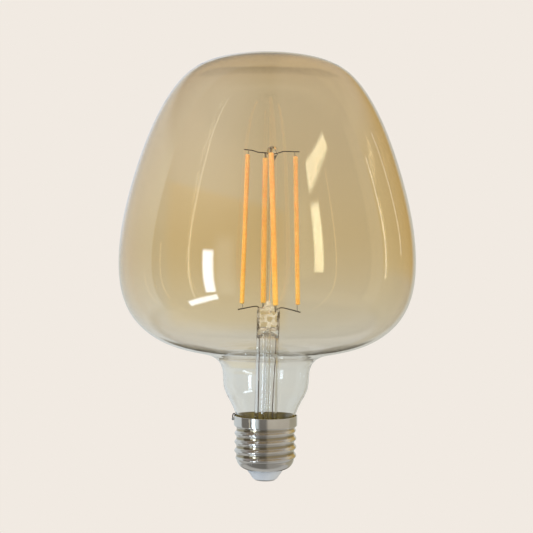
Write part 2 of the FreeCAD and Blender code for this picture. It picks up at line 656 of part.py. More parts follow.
def make_inductor():
    """Ferrite bobbin and the copper winding on it."""
    x, y = INDUCTOR_PLACE
    radius, thickness = INDUCTOR_FLANGE
    low_flange = BOARD_TOP + thickness
    high_flange = BOARD_TOP + INDUCTOR_HEIGHT - thickness
    low = cylinder(radius, BOARD_TOP, low_flange, x, y)
    high = cylinder(radius, high_flange, BOARD_TOP + INDUCTOR_HEIGHT, x, y)
    post = cylinder(INDUCTOR_WAIST_RADIUS, low_flange, high_flange, x, y)
    core = post.fuse([low, high]).removeSplitter()
    coil = cylinder(radius - 0.3, low_flange + FIT_GAP, high_flange - FIT_GAP, x, y)
    hole = cylinder(INDUCTOR_WAIST_RADIUS + FIT_GAP, low_flange, high_flange, x, y)
    return core, coil.cut(hole)


def make_fuse_resistor(live_wire):
    """Axial fusible resistor lying on the board, its body swollen at both ends."""
    axis_height = BOARD_TOP + FUSE_RADIUS + 0.1
    body = Part.makeCylinder(FUSE_RADIUS - 0.15, 5.0, vec(-2.4, FUSE_Y, axis_height), vec(1, 0, 0))
    ends = [Part.makeCylinder(FUSE_RADIUS, 1.2, vec(x, FUSE_Y, axis_height), vec(1, 0, 0))
            for x in (-2.5, 1.4)]
    lead = bent_wire([(-3.1, FUSE_Y, axis_height), (2.8, FUSE_Y, axis_height),
                      (3.5, FUSE_Y, BOARD_TOP + 0.9), (3.5, FUSE_Y, BOARD_TOP)], LEAD_RADIUS)
    return body.fuse(ends + [lead]).removeSplitter().cut(live_wire)


def make_radio_module():
    """Radio board on a row of pins, and the metal can over its chip."""
    x, y = RADIO_PLACE
    bottom = BOARD_TOP + RADIO_LIFT
    top = bottom + RADIO_BOARD[2]
    board = block(RADIO_BOARD, RADIO_PLACE, bottom)
    pins = [block((0.5, 0.5, RADIO_LIFT), (x + pin, y - 2.8), BOARD_TOP) for pin in (-3, -1, 1, 3)]
    trace = [block((0.3, 2.6, 0.1), (x + 2.6 + 0.6 * i, y + 0.5), top) for i in range(3)]
    antenna = block((1.8, 0.3, 0.1), (x + 3.2, y + 1.9), top)
    module = board.fuse(pins + trace + [antenna]).removeSplitter()
    can_place = (x - 1.5, y)
    can = block(RADIO_CAN, can_place, top)
    upright = [e for e in can.Edges if e.BoundBox.ZLength > 1]
    can = can.makeFillet(0.4, upright)
    inside = [RADIO_CAN[0] - 2 * RADIO_CAN_WALL, RADIO_CAN[1] - 2 * RADIO_CAN_WALL,
              RADIO_CAN[2] - RADIO_CAN_WALL]
    return module, can.cut(block(inside, can_place, top))


def make_small_parts(places, size):
    """Group of equal surface-mounted parts hanging under the board."""
    blocks = [block(size, place, BOARD_BOTTOM - size[2]) for place in places]
    return Part.makeCompound(blocks)


# ---- build ----------------------------------------------------------------------
def lean(shape):
    """Tilt one piece of the glass mount about the top of the stem's flare."""
    leaning = shape.copy()
    leaning.rotate(vec(0, 0, FLARE_TANGENT), vec(0, 1, 0), MOUNT_LEAN)
    return leaning


def make_mount():
    """Stem, rod, leads and filaments, keyed by node name, before they lean."""
    sides = (("left", -1), ("right", 1))
    outer_leads = {name: bent_wire(outer_lead_path(side), LEAD_RADIUS) for name, side in sides}
    seals = {name: bent_wire(seal_path(side), SEAL_RADIUS) for name, side in sides}
    inner_leads = {name: bent_wire(path, LEAD_RADIUS) for name, path in INNER_LEAD_PATHS.items()}
    crossarms = {name: bent_wire(path, SUPPORT_RADIUS) for name, path in CROSSARM_PATHS.items()}
    crosswires = {name: bent_wire(path, SUPPORT_RADIUS) for name, path in CROSSWIRE_PATHS.items()}
    exhaust = make_exhaust_tube()

    nodes = {}
    through_press = [wire for group in (outer_leads, seals, inner_leads, crossarms)
                     for wire in group.values()]
    nodes["glass_stem"] = make_stem(through_press + [exhaust])
    nodes["exhaust_tube"] = exhaust
    nodes["support_rod"] = make_support_rod(list(crosswires.values()))
    for group, prefix in ((outer_leads, "outer_lead_"), (seals, "press_seal_wire_"),
                          (inner_leads, "inner_lead_"), (crossarms, "crossarm_"),
                          (crosswires, "top_crosswire_")):
        for name, wire in group.items():
            nodes[prefix + name] = wire

    bottom_wires = {"left": inner_leads["left"], "right": inner_leads["right"],
                    "front": crossarms["front"], "back": crossarms["back"]}
    top_wires = {"left": crosswires["side"], "right": crosswires["side"],
                 "front": crosswires["fore"], "back": crosswires["fore"]}
    for name in FILAMENTS:
        nodes.update(make_filament(name, bottom_wires[name], top_wires[name]))
    return nodes


def make_cap(live_wire, side_wire):
    """Screw shell, insulator, contacts and cement, keyed by node name."""
    return {
        "screw_shell": make_screw_shell(),
        "base_insulator": make_base_insulator(),
        "centre_contact": make_centre_contact(),
        "contact_solder": make_contact_solder(live_wire),
        "capping_cement": make_capping_cement(side_wire),
        "side_contact_wire": side_wire,
        "side_solder": make_side_solder(side_wire),
    }


def make_driver(live_wire, side_wire, outer_leads):
    """Cup, board and electronic parts inside the cap, keyed by node name."""
    nodes = {}
    nodes["driver_cup"] = make_driver_cup()
    nodes["driver_board"] = make_driver_board([live_wire, side_wire] + outer_leads)
    nodes["bridge_rectifier"] = small_outline_package((4.4, 3.4, 1.4), (-3.8, 3.6), BOARD_BOTTOM, 2)
    nodes["driver_chip"] = small_outline_package((4.9, 3.6, 1.4), (4.2, 3.6), BOARD_BOTTOM, 4)
    nodes["bulk_capacitor"] = make_bulk_capacitor()
    nodes["inductor_core"], nodes["inductor_winding"] = make_inductor()
    nodes["fuse_resistor"] = make_fuse_resistor(live_wire)
    nodes["radio_module"], nodes["radio_shield"] = make_radio_module()
    nodes["chip_resistors"] = make_small_parts(RESISTOR_PLACES, (2.0, 1.2, 0.5))
    nodes["chip_capacitors"] = make_small_parts(CHIP_CAPACITOR_PLACES, (1.6, 1.2, 0.8))
    nodes["live_wire"] = live_wire
    return nodes


def build():
    live_wire = bent_wire(live_wire_path(), LIVE_WIRE_RADIUS)
    side_wire = bent_wire(side_wire_path(), SIDE_WIRE_RADIUS)
    mount = {name: lean(shape) for name, shape in make_mount().items()}
    outer_leads = [mount["outer_lead_left"], mount["outer_lead_right"]]
    nodes = {"glass_envelope": make_glass_envelope()}
    nodes.update(make_cap(live_wire, side_wire))
    nodes.update(mount)
    nodes.update(make_driver(live_wire, side_wire, outer_leads))
    return nodes


os.makedirs("parts", exist_ok=True)
for node_name, node_shape in build().items():
    save(node_name, node_shape)
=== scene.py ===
import math

import bmesh
import bpy
from mathutils import Matrix, Vector

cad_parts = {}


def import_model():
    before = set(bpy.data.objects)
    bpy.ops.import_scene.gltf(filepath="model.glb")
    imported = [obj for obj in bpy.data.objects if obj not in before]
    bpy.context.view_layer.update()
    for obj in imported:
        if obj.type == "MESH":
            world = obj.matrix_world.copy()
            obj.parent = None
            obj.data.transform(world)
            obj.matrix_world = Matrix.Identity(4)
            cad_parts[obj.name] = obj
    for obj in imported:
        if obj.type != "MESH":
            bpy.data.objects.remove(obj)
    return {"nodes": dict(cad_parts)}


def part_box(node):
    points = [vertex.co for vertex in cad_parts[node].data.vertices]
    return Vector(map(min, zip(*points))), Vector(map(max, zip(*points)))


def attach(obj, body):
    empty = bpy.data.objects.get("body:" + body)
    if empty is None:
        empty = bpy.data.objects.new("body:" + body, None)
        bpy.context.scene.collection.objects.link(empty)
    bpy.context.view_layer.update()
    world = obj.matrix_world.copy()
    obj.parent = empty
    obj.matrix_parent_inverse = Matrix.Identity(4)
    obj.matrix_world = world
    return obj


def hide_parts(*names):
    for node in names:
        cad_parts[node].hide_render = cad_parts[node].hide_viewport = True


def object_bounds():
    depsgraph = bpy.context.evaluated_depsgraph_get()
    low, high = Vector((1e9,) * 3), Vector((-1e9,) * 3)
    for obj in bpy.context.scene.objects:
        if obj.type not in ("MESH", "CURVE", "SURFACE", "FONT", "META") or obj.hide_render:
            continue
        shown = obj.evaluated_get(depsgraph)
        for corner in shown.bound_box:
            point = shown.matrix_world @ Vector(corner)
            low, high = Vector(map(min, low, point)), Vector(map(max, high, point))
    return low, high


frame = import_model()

CAD_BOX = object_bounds()
NODES = frame["nodes"]
MM = 0.001

# The camera's place, how wide its picture is at the lamp's axis, and how far the lamp leans in it.
CAMERA_DISTANCE = 0.450
CAMERA_HEIGHT = 0.090
CAMERA_SIDE = -0.0003
PICTURE_WIDTH = 0.2252
LEAN = math.radians(0.62)

FLOOR_RADIUS = 6.0
CREAM = (0.880, 0.823, 0.761)      # plain background and floor
GREY_LEFT = (0.700, 0.725, 0.710)  # the background seen through glass, at the left
GREY_RIGHT = (0.645, 0.640, 0.580)
FOLD_SHADE = (0.060, 0.050, 0.030)  # painted shade: dark patch below and behind the lamp, which the fold above the neck mirrors

# Heights in the lamp that its looks depend on.
AMBER_FROM, AMBER_FULL = 0.050, 0.112      # the coat fades in between these
PRESS_FROM, PRESS_TO = 0.0618, 0.0760      # pressed part of the stem
FILAMENT_FROM, FILAMENT_TO = 0.074, 0.137
THREAD_FROM = 0.0085                       # plain metal below it is not brown in the valleys
CHIP_PITCH = 0.00212                       # from one LED chip of a filament to the next

WALL_STATIONS = 80   # points taken from each side of the CAD glass wall
WALL_STEPS = 5       # points of the smooth curve for each of them
WALL_TURNS = 360     # points round the lamp


# ---- small node helpers ---------------------------------------------------------
class Tree:
    """Short ways to add and join shader nodes."""

    def __init__(self, node_tree):
        self.tree = node_tree
        self.tree.nodes.clear()

    def add(self, kind, **settings):
        node = self.tree.nodes.new(kind)
        for name, value in settings.items():
            setattr(node, name, value)
        return node

    def link(self, source, target):
        self.tree.links.new(source, target)

    def put(self, socket, value):
        """Joins an output to the socket, or sets the socket to a plain value."""
        if isinstance(value, bpy.types.NodeSocket):
            self.link(value, socket)
        elif isinstance(value, tuple) and len(value) == 3 and socket.type == "RGBA":
            socket.default_value = (*value, 1.0)
        else:
            socket.default_value = value

    def math(self, operation, a, b=None, c=None):
        node = self.add("ShaderNodeMath", operation=operation)
        for index, value in enumerate((a, b, c)):
            if value is not None:
                self.put(node.inputs[index], value)
        return node.outputs[0]

    def ramp(self, value, low, high, to_low=0.0, to_high=1.0):
        """Smooth step of a value from low to high."""
        node = self.add("ShaderNodeMapRange", interpolation_type="SMOOTHSTEP")
        for name, given in (("Value", value), ("From Min", low), ("From Max", high),
                            ("To Min", to_low), ("To Max", to_high)):
            self.put(node.inputs[name], given)
        return node.outputs["Result"]

    def mix(self, share, a, b, blend="MIX"):
        """Mix of two colours."""
        node = self.add("ShaderNodeMix", data_type="RGBA", blend_type=blend)
        self.put(node.inputs["Factor"], share)
        self.put(node.inputs[6], a)
        self.put(node.inputs[7], b)
        return node.outputs[2]

    def noise(self, scale, detail=2.0, rough=0.5, stretch=(1, 1, 1)):
        """Noise in the row frame, stretched along an axis by a small number."""
        mapping = self.add("ShaderNodeMapping")
        mapping.inputs["Scale"].default_value = stretch
        self.link(self.add("ShaderNodeTexCoord").outputs["Object"], mapping.inputs["Vector"])
        node = self.add("ShaderNodeTexNoise")
        node.inputs["Scale"].default_value = scale
        node.inputs["Detail"].default_value = detail
        node.inputs["Roughness"].default_value = rough
        self.link(mapping.outputs[0], node.inputs["Vector"])
        return node.outputs[0]

    def bump(self, height, strength, distance):
        node = self.add("ShaderNodeBump")
        self.put(node.inputs["Height"], height)
        self.put(node.inputs["Strength"], strength)
        self.put(node.inputs["Distance"], distance)
        return node.outputs[0]

    def position(self):
        """Outputs x, y and z of the shaded point in the row frame, in metres."""
        split = self.add("ShaderNodeSeparateXYZ")
        self.link(self.add("ShaderNodeTexCoord").outputs["Object"], split.inputs[0])
        return split.outputs

    def surface(self, shader):
        self.link(shader, self.add("ShaderNodeOutputMaterial").inputs["Surface"])

    def principled(self, **values):
        node = self.add("ShaderNodeBsdfPrincipled")
        for name, value in values.items():
            self.put(node.inputs[name.replace("_", " ")], value)
        return node.outputs[0]

    def clear_to_lamps(self, glass, colour):
        """The glass shader, except that light from a lamp only takes the colour on its way through."""
        clear = self.add("ShaderNodeBsdfTransparent")
        self.put(clear.inputs["Color"], colour)
        both = self.add("ShaderNodeMixShader")
        self.link(self.add("ShaderNodeLightPath").outputs["Is Shadow Ray"], both.inputs[0])
        self.link(glass, both.inputs[1])
        self.link(clear.outputs[0], both.inputs[2])
        return both.outputs[0]


def new_material(name):
    material = bpy.data.materials.new(name)
    material.use_nodes = True
    return material, Tree(material.node_tree)


# ---- materials ------------------------------------------------------------------
def glass_wall_material():
    """Thin blown glass: clear at the neck and amber above it, deeper where seen edge on."""
    material, t = new_material("amber_glass")
    z = t.position()[2]
    cloud = t.noise(28.0, 3.0)
    height = t.math("MULTIPLY_ADD", cloud, 0.008, z)
    coat = t.math("POWER", t.ramp(height, AMBER_FROM, AMBER_FULL), 0.62)
    amber = t.mix(t.ramp(z, 0.09, 0.17), (0.93, 0.805, 0.58), (0.92, 0.81, 0.63))
    facing = t.add("ShaderNodeLayerWeight").outputs["Facing"]
    deeper = t.math("POWER", facing, 3.0)
    amber = t.mix(deeper, amber, (0.80, 0.52, 0.20))
    tint = t.mix(coat, (0.985, 0.990, 0.985), amber)
    ior = t.math("MULTIPLY_ADD", coat, 0.20, 1.45)
    glass = t.principled(Base_Color=tint, Roughness=0.0, IOR=ior, Transmission_Weight=1.0)
    t.surface(t.clear_to_lamps(glass, t.mix(coat, (0.97, 0.97, 0.97), (0.93, 0.87, 0.77))))
    return material


def clear_glass_material():
    """Solid glass that bends light, with frosted blotches where the press was squeezed."""
    material, t = new_material("clear_glass")
    z = t.position()[2]
    press = t.math("MULTIPLY", t.ramp(z, PRESS_FROM, PRESS_FROM + 0.0022),
                   t.ramp(z, PRESS_TO - 0.0012, PRESS_TO, 1.0, 0.0))
    blotches = t.ramp(t.noise(430.0, 2.0), 0.45, 0.56)
    frosted = t.math("MAXIMUM", blotches, t.ramp(z, 0.0700, 0.0725, 0.0, 0.85))
    frosted = t.math("MULTIPLY", press, frosted)
    tint = t.mix(press, (0.985, 0.987, 0.982), (0.96, 0.88, 0.70))
    tint = t.mix(frosted, tint, (0.95, 0.94, 0.90))
    ripple = t.noise(260.0, 2.0, stretch=(1, 1, 0.15))
    dents = t.math("MULTIPLY", blotches, t.math("MULTIPLY", press, 0.8))
    normal = t.bump(t.math("ADD", ripple, dents), 0.15, 0.0004)
    glass = t.principled(Base_Color=tint, Roughness=t.ramp(frosted, 0.0, 1.0, 0.02, 0.12), IOR=1.5,
                         Transmission_Weight=t.ramp(frosted, 0.0, 1.0, 1.0, 0.72), Normal=normal)
    t.surface(t.clear_to_lamps(glass, (0.94, 0.95, 0.94)))
    return material


def metal_material(name, colour, roughness, grain=0.04, scale=900.0):
    """Metal with fine marks that change its shine and its tone a little."""
    material, t = new_material(name)
    marks = t.noise(scale, 3.0, 0.6, (1, 1, 0.05))
    patches = t.noise(120.0, 2.0)
    dark = tuple(0.82 * c for c in colour)
    base = t.mix(t.ramp(patches, 0.35, 0.7), colour, dark)
    rough = t.math("MULTIPLY_ADD", marks, grain * 2, roughness - grain)
    normal = t.bump(marks, 0.08, 0.00004)
    t.surface(t.principled(Base_Color=base, Metallic=1.0, Roughness=rough, Normal=normal))
    return material


def nickel_material():
    """Rolled nickel plate: bright, with draw marks round it and darker brown in the thread valleys."""
    material, t = new_material("nickel_plate")
    x, y, z = t.position()
    radius = t.math("SQRT", t.math("ADD", t.math("MULTIPLY", x, x), t.math("MULTIPLY", y, y)))
    rings = t.noise(500.0, 3.0, 0.6, (0.12, 0.12, 3.0))
    patches = t.noise(90.0, 3.0)
    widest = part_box("screw_shell")[1].x
    valley = t.ramp(radius, widest - 0.00125, widest - 0.00092, 1.0, 0.0)
    threaded = t.ramp(z, THREAD_FROM, THREAD_FROM + 0.0015)
    # darker brown in the thread valleys above THREAD_FROM
    valley_brown = t.math("MULTIPLY", t.math("MULTIPLY", valley, threaded), 0.85)
    base = t.mix(t.ramp(patches, 0.3, 0.7), (0.78, 0.765, 0.73), (0.70, 0.68, 0.64))
    base = t.mix(valley_brown, base, (0.32, 0.25, 0.12))
    rough = t.math("MULTIPLY_ADD", rings, 0.08, 0.07)
    normal = t.bump(rings, 0.04, 0.00006)
    t.surface(t.principled(Base_Color=base, Metallic=1.0, Roughness=rough, Normal=normal))
    return material


def plastic_material(name, colour, roughness, speckle=0.12):
    """Moulded or painted surface with a fine uneven grain."""
    material, t = new_material(name)
    grain = t.noise(700.0, 3.0)
    cloud = t.noise(84.0, 2.0)
    dark = tuple(c * (1 - speckle) for c in colour)
    light = tuple(c * (1 + speckle) for c in colour)
    base = t.mix(t.ramp(cloud, 0.3, 0.7), dark, light)
    rough = t.math("MULTIPLY_ADD", grain, 0.2, roughness - 0.1)
    normal = t.bump(grain, 0.15, 0.00005)
    t.surface(t.principled(Base_Color=base, Roughness=rough, Normal=normal))
    return material


def insulator_material():
    """Pale bluish glazed insulator."""
    material, t = new_material("insulator_glass")
    cloud = t.noise(220.0, 3.0)
    base = t.mix(t.ramp(cloud, 0.3, 0.75), (0.60, 0.64, 0.69), (0.66, 0.70, 0.75))
    normal = t.bump(t.noise(900.0, 2.0), 0.12, 0.00005)
    t.surface(t.principled(Base_Color=base, Roughness=0.38, Normal=normal, Coat_Weight=0.3))
    return material


def cement_material():
    """Baked cement behind the neck: olive brown with paler crumbs."""
    material, t = new_material("cement")
    crumbs = t.noise(900.0, 4.0, 0.65)
    cloud = t.noise(160.0, 2.0)
    base = t.mix(t.ramp(cloud, 0.35, 0.7), (0.085, 0.062, 0.006), (0.170, 0.130, 0.024))
    base = t.mix(t.ramp(crumbs, 0.60, 0.75), base, (0.34, 0.28, 0.13))
    t.surface(t.principled(Base_Color=base, Roughness=0.75, Normal=t.bump(crumbs, 0.6, 0.0002)))
    return material


def phosphor_material():
    """Yellow-orange phosphor gel over a row of chips, paler higher up and glowing faintly."""
    material, t = new_material("phosphor")
    z = t.position()[2]
    cells = t.math("SINE", t.math("MULTIPLY", z, 2 * math.pi / CHIP_PITCH))
    dots = t.ramp(cells, 0.1, 0.9)
    cloud = t.noise(180.0, 3.0)
    height = t.ramp(z, FILAMENT_FROM, FILAMENT_TO)
    deep = t.mix(height, (0.88, 0.50, 0.09), (0.82, 0.48, 0.22))
    pale = t.mix(height, (0.94, 0.60, 0.15), (0.88, 0.56, 0.30))
    base = t.mix(t.ramp(cloud, 0.3, 0.7), deep, pale)
    base = t.mix(t.math("MULTIPLY", dots, 0.2), base, (0.98, 0.70, 0.30))
    glow = t.mix(t.math("MULTIPLY", dots, 0.3), pale, (1.0, 0.66, 0.30))
    normal = t.bump(t.noise(1500.0, 2.0), 0.1, 0.00004)
    t.surface(t.principled(Base_Color=base, Roughness=0.32, Subsurface_Weight=0.4,
                           Subsurface_Scale=0.0008, Emission_Color=glow,
                           Emission_Strength=0.10, Normal=normal))
    return material


def board_material(name, mask, copper):
    """Circuit board: solder mask with faint tracks of copper under it."""
    material, t = new_material(name)
    brick = t.add("ShaderNodeTexBrick")
    t.link(t.add("ShaderNodeTexCoord").outputs["Object"], brick.inputs["Vector"])
    brick.inputs["Scale"].default_value = 260.0
    brick.inputs["Mortar Size"].default_value = 0.03
    brick.inputs["Color1"].default_value = (0, 0, 0, 1)
    brick.inputs["Color2"].default_value = (0, 0, 0, 1)
    brick.inputs["Mortar"].default_value = (1, 1, 1, 1)
    tracks = brick.outputs["Fac"]
    base = t.mix(t.math("MULTIPLY", tracks, 0.5), mask, copper)
    t.surface(t.principled(Base_Color=base, Roughness=0.35, Normal=t.bump(tracks, 0.3, 0.00004)))
    return material


def winding_material():
    """Close turns of lacquered copper wire."""
    material, t = new_material("copper_winding")
    wave = t.add("ShaderNodeTexWave", bands_direction="Z")
    t.link(t.add("ShaderNodeTexCoord").outputs["Object"], wave.inputs["Vector"])
    wave.inputs["Scale"].default_value = 1400.0
    turns = wave.outputs["Fac"]
    base = t.mix(turns, (0.30, 0.11, 0.04), (0.80, 0.38, 0.16))
    t.surface(t.principled(Base_Color=base, Metallic=0.8, Roughness=0.3,
                           Normal=t.bump(turns, 0.8, 0.00006)))
    return material


def resistor_material():
    """Lacquered body with coloured rings, along X."""
    material, t = new_material("resistor_coat")
    x = t.position()[0]
    base = (0.12, 0.36, 0.30)
    for place, colour in ((-0.0016, (0.55, 0.25, 0.02)), (-0.0006, (0.02, 0.02, 0.02)),
                          (0.0004, (0.55, 0.40, 0.02)), (0.0016, (0.6, 0.45, 0.1))):
        distance = t.math("ABSOLUTE", t.math("SUBTRACT", x, place))
        base = t.mix(t.ramp(distance, 0.00020, 0.00028, 1.0, 0.0), base, colour)
    t.surface(t.principled(Base_Color=base, Roughness=0.25, Coat_Weight=0.5,
                           Normal=t.bump(t.noise(900.0), 0.1, 0.00005)))
    return material


# ---- shapes ---------------------------------------------------------------------
def mesh_piece(name, fill, material, node):
    """A new smooth piece from a function that fills a bmesh, standing for a CAD node."""
    mesh = bpy.data.meshes.new(name)
    bm = bmesh.new()
    fill(bm)
    bmesh.ops.recalc_face_normals(bm, faces=bm.faces)
    bm.to_mesh(mesh)
    bm.free()
    for polygon in mesh.polygons:
        polygon.use_smooth = True
    mesh.materials.append(material)
    piece = bpy.data.objects.new(name, mesh)
    bpy.context.scene.collection.objects.link(piece)
    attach(piece, "root")
    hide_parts(node)


def lathe(bm, outline):
    """Closed outline of (radius, height) points turned about Z; a point on the axis is a pole."""
    rings = []
    for radius, height in outline:
        if radius < 1e-7:
            rings.append([bm.verts.new((0.0, 0.0, height))])
            continue
        ring = []
        for step in range(WALL_TURNS):
            angle = 2 * math.pi * step / WALL_TURNS
            ring.append(bm.verts.new((radius * math.cos(angle), radius * math.sin(angle), height)))
        rings.append(ring)
    for low, high in zip(rings, rings[1:] + rings[:1]):
        if len(low) == 1 and len(high) == 1:
            continue
        for step in range(WALL_TURNS):
            after = (step + 1) % WALL_TURNS
            if len(low) == 1:
                bm.faces.new((low[0], high[after], high[step]))
            elif len(high) == 1:
                bm.faces.new((low[step], low[after], high[0]))
            else:
                bm.faces.new((low[step], low[after], high[after], high[step]))


def wall_outline(node, outside):
    """Evenly spaced (radius, height) points along a blown wall, from its foot to the crown.

    The wall can be seen whole from a point on the axis at its widest height, so its points
    sort by their angle round that point. The last one is put on the axis."""
    mesh = NODES[node].data
    widest = max(mesh.vertices, key=lambda v: v.co.x).co.z
    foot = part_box(node)[0].z
    found = {}
    for polygon in mesh.polygons:
        away = polygon.center - Vector((0, 0, widest))
        at_foot = polygon.center.z < foot + 1e-5
        if at_foot or (polygon.normal.dot(away) > 0) != outside:
            continue
        for index in polygon.vertices:
            co = mesh.vertices[index].co
            radius = math.hypot(co.x, co.y)
            found[round(math.atan2(co.z - widest, radius), 5)] = (radius, co.z)
    points = [found[key] for key in sorted(found)]
    lengths = [0.0]
    for a, b in zip(points, points[1:]):
        lengths.append(lengths[-1] + math.dist(a, b))
    result = []
    index = 0
    for step in range(WALL_STATIONS):
        target = lengths[-1] * step / (WALL_STATIONS - 1)
        while index < len(points) - 2 and lengths[index + 1] < target:
            index += 1
        share = (target - lengths[index]) / (lengths[index + 1] - lengths[index])
        a, b = points[index], points[index + 1]
        result.append((a[0] + share * (b[0] - a[0]), a[1] + share * (b[1] - a[1])))
    on_axis = [v.co.z for v in mesh.vertices if math.hypot(v.co.x, v.co.y) < 1e-6]
    result[-1] = (0.0, max(on_axis) if outside else min(on_axis))
    return result


def smooth_through(points):
    """Catmull-Rom curve through the points; the last one is on the axis, where it runs level."""
    mirrored = [(2 * points[0][0] - points[1][0], 2 * points[0][1] - points[1][1])]
    mirrored += points
    mirrored.append((-points[-2][0], points[-2][1]))
    result = []
    for p0, p1, p2, p3 in zip(mirrored, mirrored[1:], mirrored[2:], mirrored[3:]):
        for step in range(WALL_STEPS):
            s = step / WALL_STEPS
            result.append(tuple(
                0.5 * (2 * b + (c - a) * s + (2 * a - 5 * b + 4 * c - d) * s * s
                       + (3 * b - a - 3 * c + d) * s ** 3)
                for a, b, c, d in zip(p0, p1, p2, p3)))
    result.append(points[-1])
    return result


def glass_wall():
    """The blown envelope as one fine closed wall."""
    outer = smooth_through(wall_outline("glass_envelope", True))
    inner = smooth_through(wall_outline("glass_envelope", False))
    mesh_piece("glass_wall", lambda bm: lathe(bm, outer + inner[::-1]),
               glass_wall_material(), "glass_envelope")


# ---- stage ----------------------------------------------------------------------
def camera():
    """A level camera in front of the lamp, rolled by the lamp's lean."""
    data = bpy.data.cameras.new("camera")
    data.sensor_width = 36.0
    data.lens = data.sensor_width * CAMERA_DISTANCE / PICTURE_WIDTH
    data.clip_start = 0.01
    data.clip_end = 20.0
    piece = bpy.data.objects.new("camera", data)
    turn = Matrix.Rotation(-LEAN, 4, "Y") @ Matrix.Rotation(math.pi / 2, 4, "X")
    place = Matrix.Translation((CAMERA_SIDE, -CAMERA_DISTANCE, CAMERA_HEIGHT))
    piece.matrix_world = place @ turn
    bpy.context.scene.collection.objects.link(piece)
    bpy.context.scene.camera = piece


def camera_axes(t, vector):
    """The vector's part to the right of the camera, upwards, and towards the camera."""
    turn = t.add("ShaderNodeVectorTransform", vector_type="VECTOR", convert_from="WORLD",
                 convert_to="CAMERA")
    t.link(vector, turn.inputs[0])
    split = t.add("ShaderNodeSeparateXYZ")
    t.link(turn.outputs[0], split.inputs[0])
    return split.outputs[0], split.outputs[1], t.math("MULTIPLY", split.outputs[2], -1.0)


def direction_patch(t, directions, heading, height, size, blur, tilt):
    """1 inside a patch of directions, in degrees: heading is to the right of the way back to the camera."""
    azimuth, elevation = directions
    aside = t.math("SUBTRACT", azimuth, math.radians(heading))
    risen = t.math("MULTIPLY_ADD", aside, -tilt, elevation)
    across = t.math("ABSOLUTE", aside)
    above = t.math("ABSOLUTE", t.math("SUBTRACT", risen, math.radians(height)))
    wide, tall, soft = (math.radians(value) for value in (size[0] / 2, size[1] / 2, blur))
    inside = t.ramp(across, wide - soft, wide + soft, 1.0, 0.0)
    return t.math("MULTIPLY", inside, t.ramp(above, tall - soft, tall + soft, 1.0, 0.0))


def studio_room(t, right, up, back):
    """Walls, ceiling, table and lamps of the studio by direction, fixed to the camera."""
    azimuth = t.math("ARCTAN2", right, back)
    elevation = t.math("ARCSINE", up)
    leftness = t.ramp(right, 0.0, 0.20, 1.0, 0.0)
    dark_side = t.mix(t.ramp(up, 0.38, 0.50), (0.20, 0.19, 0.175), (0.38, 0.34, 0.33))
    dark_side = t.mix(t.ramp(up, 0.62, 0.75), dark_side, (0.22, 0.21, 0.20))
    lit_side = t.mix(t.ramp(up, 0.30, 0.60), (0.54, 0.50, 0.43), (0.46, 0.43, 0.40))
    front = t.mix(leftness, lit_side, dark_side)
    wood = t.mix(t.ramp(up, -0.12, 0.0), (0.43, 0.40, 0.31), (0.52, 0.38, 0.15))
    wood = t.mix(t.ramp(up, 0.35, 0.60), wood, (0.62, 0.56, 0.46))
    steep = t.ramp(t.math("ABSOLUTE", up), 0.42, 0.54)
    paper = t.mix(steep, (0.66, 0.71, 0.74), (0.36, 0.36, 0.35))
    behind = t.mix(leftness, wood, paper)
    room = t.mix(t.ramp(back, -0.14, -0.10), behind, front)
    near = t.mix(leftness, (0.34, 0.33, 0.31), (0.18, 0.175, 0.165))
    table = t.mix(t.ramp(back, -0.2, 0.2), (0.50, 0.50, 0.49), near)
    room = t.mix(t.ramp(up, -0.62, -0.50, 1.0, 0.0), room, table)
    lamps = (
        # heading, height, (width, height), blur, tilt, brightness
        (-44.5, -8.2, (8.4, 28.6), 1.2, 0.0, (7.0, 8.2, 9.5)),
        (-55.0, -30.5, (29.0, 5.5), 1.2, 0.17, (6.0, 7.0, 8.0)),
        (-32.0, -7.0, (14.0, 38.0), 5.0, 0.0, (0.65, 0.72, 0.78)),
        (-60.5, 15.0, (0.7, 84.0), 0.5, 0.0, (2.6, 2.4, 1.9)),
        (100.5, 10.0, (1.1, 34.0), 0.5, 0.0, (2.4, 2.2, 1.9)),
        (122.0, 14.0, (0.9, 24.0), 0.5, 0.0, (1.9, 1.8, 1.6)),
    )
    for heading, height, size, blur, tilt, colour in lamps:
        patch = direction_patch(t, (azimuth, elevation), heading, height, size, blur, tilt)
        room = t.mix(patch, room, colour)
    return room


def background_through_glass(t, right, up):
    """The background behind the lamp: greyer than cream, with a painted reflection in gold at the middle
    left, pale above.
    """
    grey = t.mix(t.ramp(right, -0.13, 0.05), GREY_LEFT, GREY_RIGHT)
    # painted reflection: a gold-tinted patch at the middle left, seen through the glass
    wide = t.math("MULTIPLY", t.ramp(right, -0.115, -0.095), t.ramp(right, 0.014, 0.024, 1.0, 0.0))
    slant = t.math("MULTIPLY_ADD", right, 0.25, up)
    tall = t.math("MULTIPLY", t.ramp(up, -0.105, -0.065), t.ramp(slant, 0.052, 0.062, 1.0, 0.0))
    painted_gold_reflection = t.math("MULTIPLY", wide, tall)
    grey = t.mix(painted_gold_reflection, grey, t.mix(1.0, grey, (1.04, 0.97, 0.83), "MULTIPLY"))
    upper = t.math("MULTIPLY", t.ramp(up, 0.0, 0.08), t.ramp(right, -0.06, 0.01, 1.0, 0.12))
    return t.mix(upper, grey, t.mix(1.0, grey, (1.13, 1.16, 1.30), "MULTIPLY"))


def fold_shade_patch(t, right, up, back):
    """1 towards a dark patch of painted shade below and behind the lamp, which the fold above the neck
    mirrors.
    """
    below = t.math("MULTIPLY", t.ramp(up, -0.36, -0.31, 1.0, 0.0), t.ramp(up, -0.63, -0.58))
    below = t.math("MULTIPLY", below, t.ramp(back, -0.72, -0.62, 1.0, 0.0))
    middle = t.ramp(t.math("ABSOLUTE", right), 0.22, 0.30, 1.0, 0.0)
    return t.math("MULTIPLY", below, middle)


